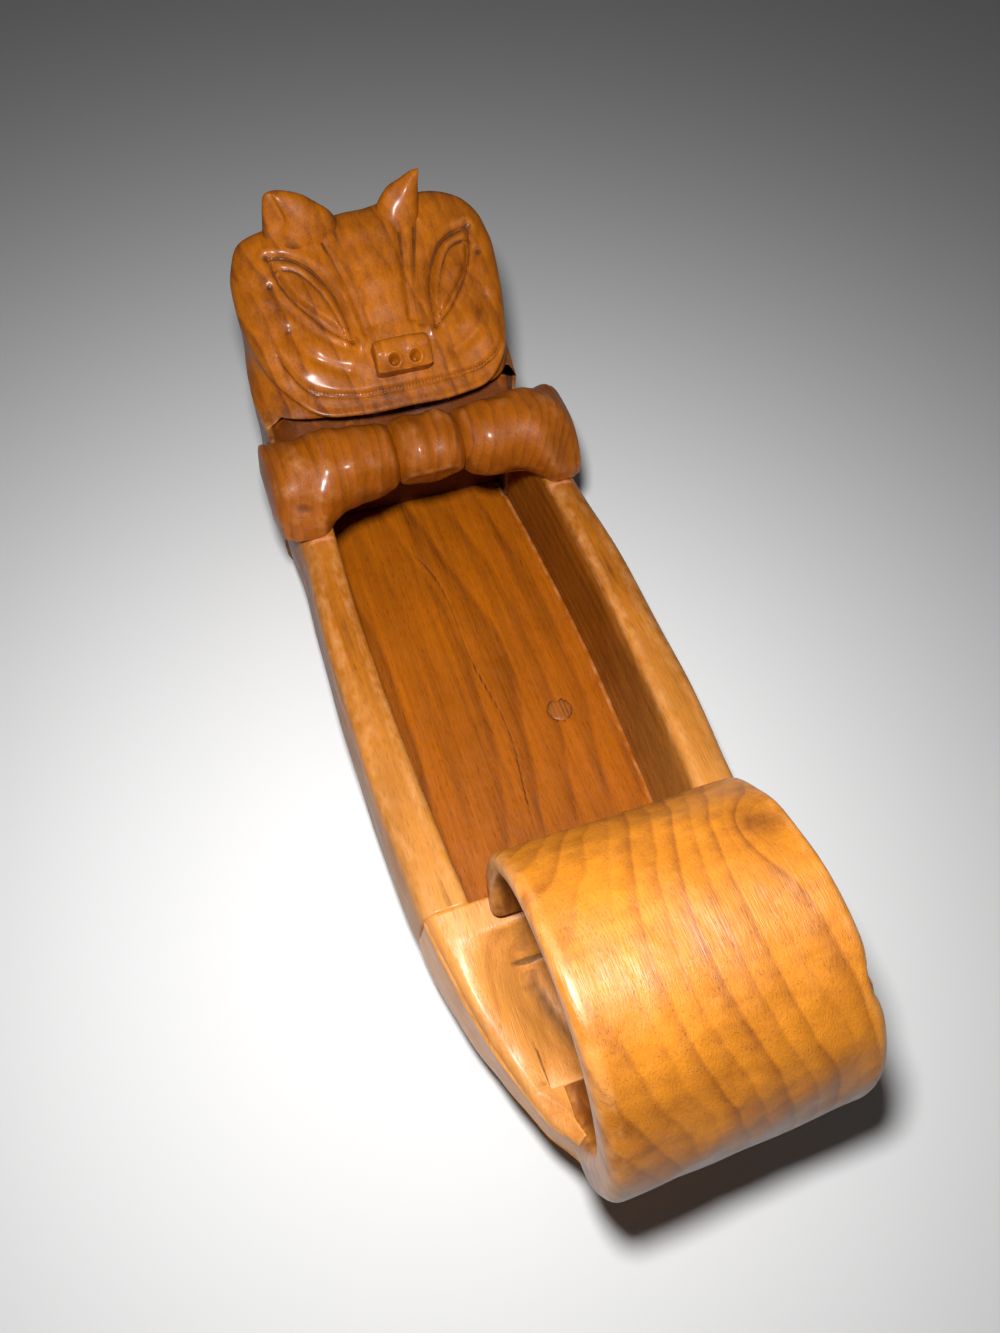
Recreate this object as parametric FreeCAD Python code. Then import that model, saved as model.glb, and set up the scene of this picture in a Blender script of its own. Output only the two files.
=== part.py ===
import FreeCAD, Part
import math
import os

V = FreeCAD.Vector
os.makedirs("parts", exist_ok=True)

# Carved wooden dish in the shape of a long scoop: an animal's head and folded
# arms at the rear (+Y), a rolled finger loop at the front (-Y).
# Millimetres, +Z up, origin on the ground at the middle of the bounding box.

# overall sizes
RIM_Z = 50.0            # height of the rails round the hollow
FLOOR_Z = 8.0           # thickness of the bottom board
HOLLOW_FRONT = -85.0    # front end of the hollow
HOLLOW_REAR = 94.0      # where the walls meet the body
POCKET_REAR = 104.0     # rear end of the hollow, in under the chest
POCKET_TOP = 46.0
POCKET_HALF = 40.0
REAR_Y = 167.0          # back of the body
BACK_SHIFT = REAR_Y - 167.0
BACK_STRETCH = (REAR_Y - HOLLOW_REAR) / 73.0
NECK_Z = 73.0           # top of the body, under the head

# half-widths of the outside and of the hollow, as (y, half-width)
OUTER = [(-160.0, 32.5), (-138.0, 40.2), (-98.0, 50.6), (-58.0, 55.0), (-18.0, 56.0),
         (22.0, 55.7), (62.0, 53.8), (94.0, 52.0)]
INNER = [(-85.0, 38.8), (-48.0, 41.0), (7.0, 42.8), (62.0, 41.6), (94.0, 40.0)]
FLARE = 1.6             # how far the foot of a wall stands inside its rim
SWELL = 2.4             # how far its belly stands outside its rim
BELLY_Z = 24.0

# scroll: outside circle, inside circle, width
SCROLL_Y = -124.0
SCROLL_Z = 67.7
SCROLL_R = 42.7
EYE_Y = -121.0
EYE_Z = 69.5
EYE_R = 34.0
SCROLL_X = 1.2
SCROLL_HALF = 35.2
SCROLL_LEFT = SCROLL_X - SCROLL_HALF
SCROLL_JOINT_Y = -138.0  # where the scroll's foot meets the prow
TIP_NOTCH = 1.5          # how deep the tip of the roll sits in the deck

# head: slope of the face, thickness of the jaw and its place
FACE_TILT = 32.0
CHIN_Y = 91.0
CHIN_Z = 75.0
HEAD_SHIFT = -3.0       # the head and body stand a little to the left of the dish
SNOUT_X = -2.2
SNOUT_HALF = 10.2
SNOUT_LOW = 10.0        # lower end of the snout, up the slope of the face
SNOUT_LONG = 11.4
SNOUT_DEEP = 16.0       # of which 6 is let into the face
NOSTRIL_D = 4.2
NOSTRIL_X = 3.9
NOSTRIL_DEPTH = 4.0

# joints
GLUE = 0.1              # glue line between two faces
DOWEL_FIT = 0.1         # radial room round a dowel
END_ROOM = 0.5          # glue room at a dowel's end
DOWEL_D = 6.0
PEG_D = 4.0
PLUG_D = 9.0
PLUG_X = 22.0
PLUG_Y = -14.0
PLUG_DEPTH = 5.0


def curve(points):
    """A smooth edge through the points."""
    spline = Part.BSplineCurve()
    spline.interpolate([V(*p) for p in points])
    return spline.toShape()


def line(p, q):
    return Part.makeLine(V(*p), V(*q))


def half_width(table, y):
    """Half-width at y on the smooth curve through a table."""
    edge = curve([(x, yy, 0.0) for yy, x in table])
    cut = edge.Curve.intersectCC(Part.Line(V(0, y, 0), V(1, y, 0)))
    return cut[0].X


def prism(edges, direction):
    """A solid swept from a closed flat outline."""
    wire = Part.Wire(Part.__sortEdges__(edges))
    return Part.Face(wire).extrude(V(*direction))


def rod(diameter, start, direction, length):
    return Part.makeCylinder(diameter / 2.0, length, V(*start), V(*direction))


def dowel(diameter, start, direction, length):
    """A round dowel with a chamfer at both ends."""
    pin = rod(diameter, start, direction, length)
    rims = [e for e in pin.Edges if isinstance(e.Curve, Part.Circle)]
    return pin.makeChamfer(0.5, rims)


def socket(diameter, start, direction, length):
    """The hole for a dowel, with room round it and at both ends."""
    d = V(*direction)
    d.normalize()
    s = V(*start) - d * END_ROOM
    return Part.makeCylinder(diameter / 2.0 + DOWEL_FIT, length + 2.0 * END_ROOM, s, d)


def mirror(shape):
    return shape.mirror(V(0, 0, 0), V(1, 0, 0))


def one(shape):
    """The largest solid of a result."""
    return sorted(shape.Solids, key=lambda s: -s.Volume)[0]


def on_face(along, out=0.0, x=0.0):
    """A point on the face's slope, this far up it and out from it."""
    a = math.radians(FACE_TILT)
    y = CHIN_Y + along * math.cos(a) - out * math.sin(a)
    z = CHIN_Z + along * math.sin(a) + out * math.cos(a)
    return (x, y, z)


# ---------------------------------------------------------------- walls
def wall_wire(z, inset):
    front = HOLLOW_FRONT + GLUE
    rear = HOLLOW_REAR - GLUE
    ys = [front + (rear - front) * i / 8.0 for i in range(9)]
    outer = [(half_width(OUTER, y) - inset, y, z) for y in ys]
    inner = [(half_width(INNER, y), y, z) for y in ys]
    edges = [curve(outer), line(outer[-1], inner[-1]), curve(inner[::-1]), line(inner[0], outer[0])]
    return Part.Wire(edges)


def long_edges(shape, z, length):
    found = []
    for edge in shape.Edges:
        flat = all(abs(v.Z - z) < 0.01 for v in edge.Vertexes)
        if flat and edge.Length > length:
            found.append(edge)
    return found


side_right = Part.makeLoft([wall_wire(0.0, FLARE), wall_wire(BELLY_Z, -SWELL), wall_wire(RIM_Z, 0.0)], True, False)
side_right = side_right.makeFillet(3.0, long_edges(side_right, RIM_Z, 100.0))
foot = [e for e in long_edges(side_right, 0.0, 100.0) if e.CenterOfMass.x > 46.0]
side_right = side_right.makeFillet(4.0, foot)

# ---------------------------------------------------------------- bottom board and plug
board_ys = [HOLLOW_FRONT + GLUE + (HOLLOW_REAR - HOLLOW_FRONT - 2.0 * GLUE) * i / 8.0 for i in range(9)]
board_right = [(half_width(INNER, y) - GLUE, y, 0.0) for y in board_ys]
board_tongue = Part.makeBox(2.0 * POCKET_HALF - 2.0, 12.0, FLOOR_Z,
                            V(1.0 - POCKET_HALF, POCKET_REAR - GLUE - 12.0, 0.0))
board_left = [(-x, y, z) for x, y, z in board_right]
bottom_board = prism([curve(board_right), line(board_right[-1], board_left[-1]),
                      curve(board_left[::-1]), line(board_left[0], board_right[0])], (0, 0, FLOOR_Z))
bottom_board = bottom_board.fuse(board_tongue).removeSplitter()
plug_floor = FLOOR_Z - PLUG_DEPTH
bottom_board = bottom_board.cut(rod(PLUG_D + 2.0 * DOWEL_FIT, (PLUG_X, PLUG_Y, plug_floor - 0.2),
                                    (0, 0, 1), PLUG_DEPTH + 1.0))
floor_plug = rod(PLUG_D, (PLUG_X, PLUG_Y, plug_floor), (0, 0, 1), PLUG_DEPTH)

# ---------------------------------------------------------------- body and its plan
BODY_PLAN = [(52.0, 94.0), (49.5, 107.0), (47.0, 123.0), (44.5, 142.0), (36.5, 158.0), (22.0, 165.8),
             (-3.0, 167.0), (-28.0, 165.8), (-43.0, 160.0), (-51.0, 148.0), (-55.5, 130.0), (-57.0, 110.0),
             (-57.0, 94.0)]
NECK_PLAN = [(34.0, 95.0), (41.0, 113.0), (45.0, 127.0), (44.0, 146.0), (36.0, 158.5), (21.5, 164.5),
             (-3.0, 166.0), (-27.5, 164.5), (-42.0, 158.5), (-49.8, 147.0), (-54.0, 130.0), (-55.0, 112.0),
             (-51.0, 95.0)]
NECK_STEP_Z = 46.0


def plan_solid(plan, z0, z1):
    points = [(x, HOLLOW_REAR + (y - HOLLOW_REAR) * BACK_STRETCH, z0) for x, y in plan]
    return prism([curve(points), line(points[-1], points[0])], (0, 0, z1 - z0))


body_low = plan_solid(BODY_PLAN, 0.0, NECK_STEP_Z)
body_low = body_low.makeFillet(4.0, [e for e in long_edges(body_low, 0.0, 150.0)])
torso = body_low.fuse(plan_solid(NECK_PLAN, NECK_STEP_Z - 6.0, NECK_Z))
torso = torso.cut(Part.makeBox(2.0 * POCKET_HALF, 20.0, POCKET_TOP + 5.0,
                               V(-POCKET_HALF, POCKET_REAR - 20.0, -5.0)))
chest_cut = prism([line((-70, 93.0, 56.0), (-70, 101.0, NECK_Z + 1.0)),
                   line((-70, 101.0, NECK_Z + 1.0), (-70, 80.0, NECK_Z + 1.0)),
                   line((-70, 80.0, NECK_Z + 1.0), (-70, 80.0, 56.0)),
                   line((-70, 80.0, 56.0), (-70, 93.0, 56.0))], (140, 0, 0))
torso = torso.cut(chest_cut)

# ---------------------------------------------------------------- prow and scroll
OUTLINE = [(-78.0, 0.0), (-100.0, 4.5), (-120.0, 14.8), (-138.0, 26.6), (-153.5, 36.6), (-163.0, 50.2)]


def circle_point(cy, cz, r, degrees):
    a = math.radians(degrees)
    return (0.0, cy + r * math.cos(a), cz + r * math.sin(a))


def shift(points, x):
    return [(x, y, z) for _, y, z in points]


under = [(0.0, y, z) for y, z in OUTLINE]
over = [circle_point(SCROLL_Y, SCROLL_Z, SCROLL_R, d) for d in range(180, -26, -15)]


def plan_wire(z, inset):
    """The outside of the walls carried forward to the front, at one height."""
    r = [(x - inset, y, z) for y, x in OUTER[:5]]
    left = [(-x, y, z) for x, y, z in r]
    return Part.Wire([curve(r), line(r[-1], left[-1]), curve(left[::-1]), line(left[0], r[0])])


under_face = prism([curve(shift(under, -70)), line((-70, -163.0, 50.2), (-70, -163.0, 80.0)),
                    line((-70, -163.0, 80.0), (-70, -78.0, 80.0)), line((-70, -78.0, 80.0), (-70, -78.0, 0.0))],
                   (140, 0, 0))
behind = Part.makeBox(140, 90, 100, V(-70, HOLLOW_FRONT - 90, -5))
cheek_top = [(-70.0, -85.0, 50.0), (-70.0, -100.0, 49.6), (-70.0, -116.0, 47.0), (-70.0, -130.0, 45.2),
             (-70.0, -144.0, 49.5), (-70.0, -158.0, 60.5), (-70.0, -166.0, 72.0)]
cheek_room = prism([curve(cheek_top), line(cheek_top[-1], (-70, -166.0, -5.0)),
                    line((-70, -166.0, -5.0), (-70, -85.0, -5.0)), line((-70, -85.0, -5.0), cheek_top[0])],
                   (140, 0, 0))
plan_low = Part.makeLoft([plan_wire(0.0, FLARE), plan_wire(BELLY_Z, -SWELL), plan_wire(RIM_Z, 0.0)], True, False)
plan_high = Part.makeLoft([plan_wire(RIM_Z, 0.0), plan_wire(80.0, 0.0)], True, True)
prow = plan_low.fuse(plan_high).common(under_face).common(behind).common(cheek_room)
eye_hole = rod(2.0 * EYE_R, (SCROLL_LEFT, EYE_Y, EYE_Z), (1, 0, 0), 2.0 * SCROLL_HALF)
prow = prow.cut(eye_hole)
prow = prow.cut(Part.makeBox(2 * (SCROLL_HALF + GLUE), 40, 60, V(SCROLL_LEFT - GLUE, SCROLL_JOINT_Y - 40, 10)))
prow = one(prow)

roll_edges = [curve(shift(under[3:] + over, SCROLL_LEFT))]
roll_start = shift(under[3:], SCROLL_LEFT)[0]
roll_end = shift(over, SCROLL_LEFT)[-1]
eye_middle = (SCROLL_LEFT, EYE_Y, EYE_Z)
roll_edges += [line(roll_end, eye_middle), line(eye_middle, roll_start)]
roll = prism(roll_edges, (2 * SCROLL_HALF, 0, 0))
scroll = roll.cut(rod(2.0 * EYE_R, (SCROLL_LEFT - 1, EYE_Y, EYE_Z), (1, 0, 0), 2.0 * SCROLL_HALF + 2))
scroll = scroll.cut(Part.makeBox(100, 100, 40, V(-50, SCROLL_JOINT_Y - GLUE, 8)))
scroll = one(scroll)
outer_rims = [e for e in scroll.Edges
              if abs(abs(e.CenterOfMass.x - SCROLL_X) - SCROLL_HALF) < 0.01 and e.Length > 150.0]
scroll = scroll.makeFillet(3.5, outer_rims)
tip_low = RIM_Z - TIP_NOTCH
scroll = one(scroll.cut(Part.makeBox(100, 60, 20, V(-50, -120, tip_low - 20.0))))
notch = Part.makeBox(2 * (SCROLL_HALF + GLUE), 20, 10, V(SCROLL_LEFT - GLUE, -101.0, tip_low - GLUE))
prow = one(prow.cut(notch))

# ---------------------------------------------------------------- arms and paws
ARM_SECTIONS = [(12.7, 82.0, 60.0, 10.0, 10.5), (17.0, 82.0, 59.8, 13.0, 12.4), (26.0, 82.0, 60.2, 15.4, 13.8),
                (36.0, 81.0, 59.6, 17.6, 14.8), (45.0, 80.5, 56.5, 21.0, 16.5), (52.0, 81.5, 55.0, 20.0, 15.0),
                (56.5, 82.5, 54.5, 14.0, 10.5), (58.2, 83.0, 54.5, 5.0, 4.0)]
ELBOW_REACH = 3.0        # the left elbow stands out this much further than the right one


def ellipse(x, y, z, a, b):
    """An oval across the arm: a is half its depth, b half its height."""
    points = []
    for i in range(16):
        t = 2.0 * math.pi * i / 16.0
        points.append(V(x, y + a * math.cos(t), z + b * math.sin(t)))
    spline = Part.BSplineCurve()
    spline.interpolate(points, True)
    return Part.Wire([spline.toShape()])


chest = Part.makeBox(140, 40, 90, V(-70, HOLLOW_REAR - GLUE, -1))
under_rail = Part.makeBox(40, 60, 60, V(39.0, 55, RIM_Z + GLUE - 60))
def arm(reach):
    """A forearm from its crease to its elbow, cut flat on the rail and on the chest."""
    sections = [(x + reach * max(0.0, x - 36.0) / 22.2, y, z, a, b) for x, y, z, a, b in ARM_SECTIONS]
    shape = Part.makeLoft([ellipse(*s) for s in sections], True, False)
    return one(shape.cut(under_rail).cut(chest))


arm_right = arm(0.0)
arm_left = mirror(arm(ELBOW_REACH))
PAW_HALF = 12.6
paws = Part.makeLoft([ellipse(-PAW_HALF, 82.0, 60.0, 10.0, 10.5), ellipse(-6.0, 81.2, 59.5, 13.4, 12.2),
                      ellipse(0.0, 81.0, 59.3, 13.8, 12.4), ellipse(6.0, 81.2, 59.5, 13.4, 12.2),
                      ellipse(PAW_HALF, 82.0, 60.0, 10.0, 10.5)], True, False)
paws = one(paws.cut(chest))

# ---------------------------------------------------------------- head
SIDE_VIEW = [(97.0, 73.1), (92.0, 75.0), (90.6, 79.5), (94.0, 84.0), (112.0, 94.4), (130.0, 104.2),
             (144.0, 110.2), (154.0, 111.5)]
BACK_VIEW = [(162.0, 107.0), (166.5, 96.0), (166.8, 82.0), (165.0, 73.1)]
side_edge = [(-60.0, y, z) for y, z in SIDE_VIEW]
side_edge += [(-60.0, y + BACK_SHIFT, z) for y, z in BACK_VIEW]
head_side = prism([curve(side_edge), line(side_edge[-1], side_edge[0])], (120, 0, 0))
FRONT_VIEW = [(0.0, -3.5), (20.0, -2.5), (32.0, 1.0), (41.0, 11.0), (45.6, 27.0), (47.5, 44.0), (45.5, 60.0),
              (36.0, 70.5), (20.0, 74.5), (0.0, 75.0)]
ring = [on_face(s, -60.0, x + HEAD_SHIFT) for x, s in FRONT_VIEW]
ring += [on_face(s, -60.0, HEAD_SHIFT - x) for x, s in FRONT_VIEW[-2:0:-1]]
loop = Part.BSplineCurve()
loop.interpolate([V(*p) for p in ring], True)
up_normal = V(0.0, -math.sin(math.radians(FACE_TILT)), math.cos(math.radians(FACE_TILT)))
head_front = Part.Face(Part.Wire([loop.toShape()])).extrude(up_normal * 90.0)
head = one(head_side.common(head_front))

# snout with two drilled nostrils, let into the face and pegged
snout = Part.makeBox(2 * SNOUT_HALF, SNOUT_LONG, SNOUT_DEEP)
snout = snout.makeFillet(2.4, snout.Edges)
snout.translate(V(SNOUT_X - SNOUT_HALF, 0, 0))
snout.rotate(V(0, 0, 0), V(1, 0, 0), FACE_TILT)
snout.translate(V(*on_face(SNOUT_LOW, -6.0)))
for side in (-1.0, 1.0):
    start = on_face(SNOUT_LOW + 3.4, SNOUT_DEEP - 5.0, SNOUT_X + side * NOSTRIL_X)
    snout = snout.cut(rod(NOSTRIL_D, start, tuple(-up_normal), NOSTRIL_DEPTH + 1.0))
snout = one(snout)
head = one(head.cut(snout))

# ears, pegged into the top of the head
EAR_LEFT = [(-25.0, 150.0, 104.0, 14.0, 7.0), (-25.5, 150.5, 111.0, 13.5, 6.5), (-27.5, 151.5, 117.0, 10.5, 5.2),
            (-31.0, 152.2, 121.5, 5.5, 3.0), (-33.5, 152.5, 123.5, 1.6, 1.2)]
EAR_RIGHT = [(12.5, 150.0, 104.0, 8.2, 6.0), (12.8, 150.5, 111.0, 8.0, 5.6), (15.5, 151.5, 117.5, 5.4, 4.2),
             (19.0, 152.5, 124.0, 1.4, 1.2)]


def ear(sections):
    rings = []
    for x, y, z, a, b in sections:
        points = []
        for i in range(12):
            t = 2.0 * math.pi * i / 12.0
            points.append(V(x + a * math.cos(t), y + b * math.sin(t), z))
        spline = Part.BSplineCurve()
        spline.interpolate(points, True)
        rings.append(Part.Wire([spline.toShape()]))
    return Part.makeLoft(rings, True, False)


ear_left = one(ear(EAR_LEFT).cut(head))
ear_right = one(ear(EAR_RIGHT).cut(head))

# ---------------------------------------------------------------- dowels
def fit_dowels(name, diameter, places, hosts):
    """Make one group of dowels and bore its sockets in the pieces it joins."""
    pins = []
    for start, direction, length in places:
        pins.append(dowel(diameter, start, direction, length))
        hole = socket(diameter, start, direction, length)
        for host in hosts:
            if pieces[host].common(hole).Volume > 0.01:
                pieces[host] = one(pieces[host].cut(hole))
    pieces[name] = Part.makeCompound(pins)


pieces = {"bottom_board": bottom_board, "floor_plug": floor_plug, "side_right": side_right,
          "side_left": mirror(side_right), "prow": prow, "scroll": scroll, "torso": torso, "head": head,
          "snout": snout, "ear_left": ear_left, "ear_right": ear_right, "arm_right": arm_right,
          "arm_left": arm_left, "paws": paws}

fit_dowels("prow_dowels", DOWEL_D,
           [((s * 46.0, HOLLOW_FRONT - 10, z), (0, 1, 0), 20.0) for s in (-1, 1) for z in (14.0, 36.0)],
           ["prow", "side_left", "side_right"])
fit_dowels("body_dowels", DOWEL_D,
           [((s * 45.5, HOLLOW_REAR - 10, z), (0, 1, 0), 22.0) for s in (-1, 1) for z in (14.0, 36.0)],
           ["torso", "side_left", "side_right"])
fit_dowels("scroll_dowels", DOWEL_D,
           [((x, SCROLL_JOINT_Y - 8.0, 34.5), (0, 1, 0), 16.0) for x in (-20.0, 20.0)], ["prow", "scroll"])
fit_dowels("neck_dowels", DOWEL_D * 1.5,
           [((x, 135.0, NECK_Z - 14.0), (0, 0, 1), 26.0) for x in (-24.0, 24.0)], ["torso", "head"])
fit_dowels("elbow_dowels", DOWEL_D,
           [((s * 46.5, 78.0, RIM_Z - 12.0), (0, 0, 1), 20.0) for s in (-1, 1)],
           ["side_left", "side_right", "arm_left", "arm_right"])
fit_dowels("paw_dowels", PEG_D,
           [((s * PAW_HALF - 7.0, 82.0, 60.0), (1, 0, 0), 14.0) for s in (-1, 1)],
           ["paws", "arm_left", "arm_right"])
fit_dowels("ear_pegs", PEG_D,
           [((-25.5, 150.5, 99.0), (0, 0, 1), 14.0), ((12.8, 150.5, 99.0), (0, 0, 1), 14.0)],
           ["head", "ear_left", "ear_right"])
snout_start = on_face(15.0, -9.5, SNOUT_X)
fit_dowels("snout_peg", PEG_D, [(snout_start, tuple(up_normal), 11.5)], ["head", "snout"])

for name, shape in pieces.items():
    bad = [s for s in shape.Solids if not s.isValid() or s.Volume < 1.0]
    print(name, len(shape.Solids), round(shape.Volume / 1000.0, 2), "bad" if bad else "ok",
          [round(v, 1) for v in (shape.BoundBox.XMin, shape.BoundBox.XMax, shape.BoundBox.YMin,
                                 shape.BoundBox.YMax, shape.BoundBox.ZMin, shape.BoundBox.ZMax)])
    shape.exportStep("parts/" + name + ".step")
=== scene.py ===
import math

import bpy
import numpy as np
from mathutils import Matrix, Vector


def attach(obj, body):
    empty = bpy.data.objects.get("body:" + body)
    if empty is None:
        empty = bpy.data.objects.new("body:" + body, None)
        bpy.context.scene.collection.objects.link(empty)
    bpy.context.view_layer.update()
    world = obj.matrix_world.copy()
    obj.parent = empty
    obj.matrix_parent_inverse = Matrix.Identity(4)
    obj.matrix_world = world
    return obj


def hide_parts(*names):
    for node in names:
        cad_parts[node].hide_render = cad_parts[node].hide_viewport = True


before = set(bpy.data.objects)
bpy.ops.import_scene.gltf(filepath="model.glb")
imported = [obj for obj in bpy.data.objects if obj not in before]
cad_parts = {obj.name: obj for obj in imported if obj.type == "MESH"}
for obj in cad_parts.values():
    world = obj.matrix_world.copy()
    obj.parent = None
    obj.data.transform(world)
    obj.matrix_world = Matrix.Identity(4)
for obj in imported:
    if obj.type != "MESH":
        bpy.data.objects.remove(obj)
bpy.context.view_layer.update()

bl_info = {
    "name": "Carved scoop dish",
    "version": (1, 0, 0),
    "blender": (4, 5, 0),
    "location": "3D View > Sidebar > Scoop dish",
    "description": "Carved surfaces and varnished wood for a scoop dish with an animal's head",
    "category": "Object",
}

MM = 0.001


# ------------------------------------------------------------------ settings
class DishSizes(bpy.types.PropertyGroup):
    tool_marks: bpy.props.FloatProperty(name="Tool marks", default=0.00035, unit="LENGTH",
                                        description="Height of the soft flats that the knife left")


def colour_setting(name, description, default):
    return bpy.props.FloatVectorProperty(name=name, description=description, default=default, subtype="COLOR")


class DishFinish(bpy.types.PropertyGroup):
    rail_colour: colour_setting("Rail wood", "Light wood of the rails", (0.42, 0.128, 0.006))
    # painted light: the prow's wood is set paler than the rails for the strong light that falls on it
    prow_lit_colour: colour_setting("Prow wood", "Prow wood, set paler for the strong light on it", (0.70, 0.285, 0.050))
    floor_colour: colour_setting("Floor wood", "Wood of the bottom board", (0.43, 0.108, 0.001))
    scroll_colour: colour_setting("Scroll wood", "Golden wood of the roll", (0.60, 0.205, 0.010))
    body_colour: colour_setting("Body wood", "Red-brown wood of the head and body", (0.44, 0.120, 0.002))
    arm_colour: colour_setting("Arm wood", "Wood of the forearms and paws", (0.33, 0.082, 0.001))


# ------------------------------------------------------------------ geometry helpers
def smooth(a, b, v):
    """Smooth step from 0 at a to 1 at b: 3 t squared minus 2 t cubed."""
    t = np.clip((np.asarray(v, float) - a) / (b - a), 0.0, 1.0)
    return t * t * (3.0 - 2.0 * t)


def bump(v, centre, width):
    """A bell of height 1 round centre."""
    return np.exp(-((np.asarray(v, float) - centre) / width) ** 2)


def through(keys, v):
    """Smooth curve through (position, value) keys: piecewise cubic with slopes from the neighbouring keys."""
    k = np.array(keys, float)
    x, y = k[:, 0], k[:, 1]
    h = np.diff(x)
    d = np.diff(y) / h
    m = np.zeros(len(x))
    m[1:-1] = (d[:-1] * h[1:] + d[1:] * h[:-1]) / (h[1:] + h[:-1])
    m[0], m[-1] = 1.5 * d[0] - 0.5 * m[1], 1.5 * d[-1] - 0.5 * m[-2]
    v = np.clip(np.asarray(v, float), x[0], x[-1])
    i = np.clip(np.searchsorted(x, v, side="right") - 1, 0, len(x) - 2)
    t = (v - x[i]) / h[i]
    return ((2 * t**3 - 3 * t**2 + 1) * y[i] + (t**3 - 2 * t**2 + t) * h[i] * m[i]
            + (3 * t**2 - 2 * t**3) * y[i + 1] + (t**3 - t**2) * h[i] * m[i + 1])


def path_through(points, count):
    """Evenly timed points on a smooth path through the given points."""
    p = np.array(points, float)
    step = np.concatenate([[0.0], np.cumsum(np.linalg.norm(np.diff(p, axis=0), axis=1))])
    t = np.linspace(0.0, step[-1], count)
    return np.stack([through(np.stack([step, p[:, c]], 1), t) for c in range(p.shape[1])], 1)


def ripple(x, y, z, scale, seed):
    """Soft unevenness between about -1 and 1: a sum of five sine waves in set directions."""
    rng = np.random.default_rng(seed)
    total = 0.0
    for _ in range(5):
        d = rng.normal(size=3)
        d /= np.linalg.norm(d)
        total = total + np.sin((x * d[0] + y * d[1] + z * d[2]) * 6.283 / (scale * rng.uniform(0.6, 1.7))
                               + rng.uniform(0, 6.283))
    return total / 2.6


def grid_faces(nu, nv):
    """Four-sided faces of a grid of nu by nv points, closed round v."""
    i = np.arange(nu - 1)[:, None]
    j = np.arange(nv)[None, :]
    k = (j + 1) % nv
    corners = np.broadcast_arrays(i * nv + j, (i + 1) * nv + j, (i + 1) * nv + k, i * nv + k)
    return np.stack(corners, -1).reshape(-1, 4)


def tube(loops):
    """Points and faces of a closed skin through loops of points (sections, points, 3), ends drawn in."""
    nv = loops.shape[1]
    first = loops[0].mean(0)
    last = loops[-1].mean(0)
    cap_a = first + (loops[0] - first) * np.array([0.02, 0.5])[:, None, None]
    cap_b = last + (loops[-1] - last) * np.array([0.5, 0.02])[:, None, None]
    full = np.concatenate([cap_a, loops, cap_b], 0)
    n = full.shape[0]
    faces = grid_faces(n, nv)
    points = np.concatenate([full.reshape(-1, 3), [first], [last]], 0)
    j = np.arange(nv)
    k = (j + 1) % nv
    a = np.full(nv, n * nv)
    b = np.full(nv, n * nv + 1)
    base = (n - 1) * nv
    ends = np.concatenate([np.stack([a, j, k, a], 1), np.stack([b, base + k, base + j, b], 1)], 0)
    return points, faces, ends[:, :3]


def build_tube(name, loops, node, material):
    """A closed tube with three-sided fans at its two ends, faces turned outwards."""
    points, faces, ends = tube(loops)
    quads = [tuple(f) for f in faces.tolist()]
    fans = [tuple(f) for f in ends.tolist()]
    mesh = bpy.data.meshes.new(name)
    mesh.from_pydata((points * MM).tolist(), [], quads + fans)
    mesh.update(calc_edges=True)
    v = np.empty(len(mesh.vertices) * 3)
    mesh.vertices.foreach_get("co", v)
    v = v.reshape(-1, 3)
    f = np.array(quads)
    a = v[f[:, 1]] - v[f[:, 0]]
    b = v[f[:, 2]] - v[f[:, 0]]
    volume = (np.cross(a, b) * v[f[:, 0]]).sum()
    if volume < 0:
        mesh.flip_normals()
    mesh.polygons.foreach_set("use_smooth", np.full(len(mesh.polygons), True))
    piece = bpy.data.objects.new(name, mesh)
    bpy.context.scene.collection.objects.link(piece)
    piece.data.materials.append(material)
    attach(piece, "root")
    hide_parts(node)
    return piece


# ------------------------------------------------------------------ shape of the dish (millimetres)
RIM_Z = 50.0
FLOOR_Z = 8.0
HOLLOW_FRONT, HOLLOW_REAR, POCKET_REAR = -84.9, 93.9, 103.9
POCKET_HALF, POCKET_TOP = 40.0, 46.0
BODY_FRONT = 94.0
SCROLL_X, SCROLL_Y, SCROLL_Z = 1.2, -124.0, 67.7
SCROLL_R, SCROLL_HALF = 42.7, 35.2
EYE_Y, EYE_Z, EYE_R = -121.0, 69.5, 34.0
SCROLL_FOOT_Y = -138.0
ROLL_START, ROLL_END = 251.2, -26.6      # degrees round the roll, from its foot to its tip
CHIP_X, CHIP_ANGLE, CHIP_DEPTH = 37.0, 121.0, 1.8
CREASE_Y = -103.5
HEAD_X = -3.0
NECK_TOP, HEAD_BACK = 73.2, 165.6
FACE_MIDDLE = 33.0
SNOUT_X, SNOUT_LOW, SNOUT_SUNK = -2.2, 10.0, 6.0
SNOUT_HALF, SNOUT_LONG, SNOUT_DEEP = 10.2, 11.4, 16.0
NOSTRIL_X, NOSTRIL_UP = 3.9, 13.2
PLUG_X, PLUG_Y = 22.0, -14.0
TURN = 2 * np.pi

OUTER = [(-160, 32.5), (-138, 40.2), (-98, 50.6), (-58, 55.0), (-18, 56.0), (22, 55.7), (62, 53.8),
         (94, 52.0)]
INNER = [(-85, 38.8), (-48, 41.0), (7, 42.8), (62, 41.6), (94, 40.0)]
FACE_TILT = math.radians(32.0)
CHIN_Y, CHIN_Z = 91.0, 75.0
UNDER = [(-163, 50.2), (-153.5, 36.6), (-138, 26.6), (-120, 14.8), (-100, 4.5), (-78, 0.0)]
CHEEK = [(-166, 72.0), (-158, 60.5), (-144, 49.5), (-130, 45.2), (-116, 47.0), (-100, 49.6), (-85, 50.0)]


def belly(z):
    """How far a wall stands outside its rim: in at the foot, out at the belly, flush at the rim."""
    return through([(0, -1.6), (12, 1.3), (24, 2.4), (38, 1.5), (50, 0), (80, 0)], z)


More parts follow.
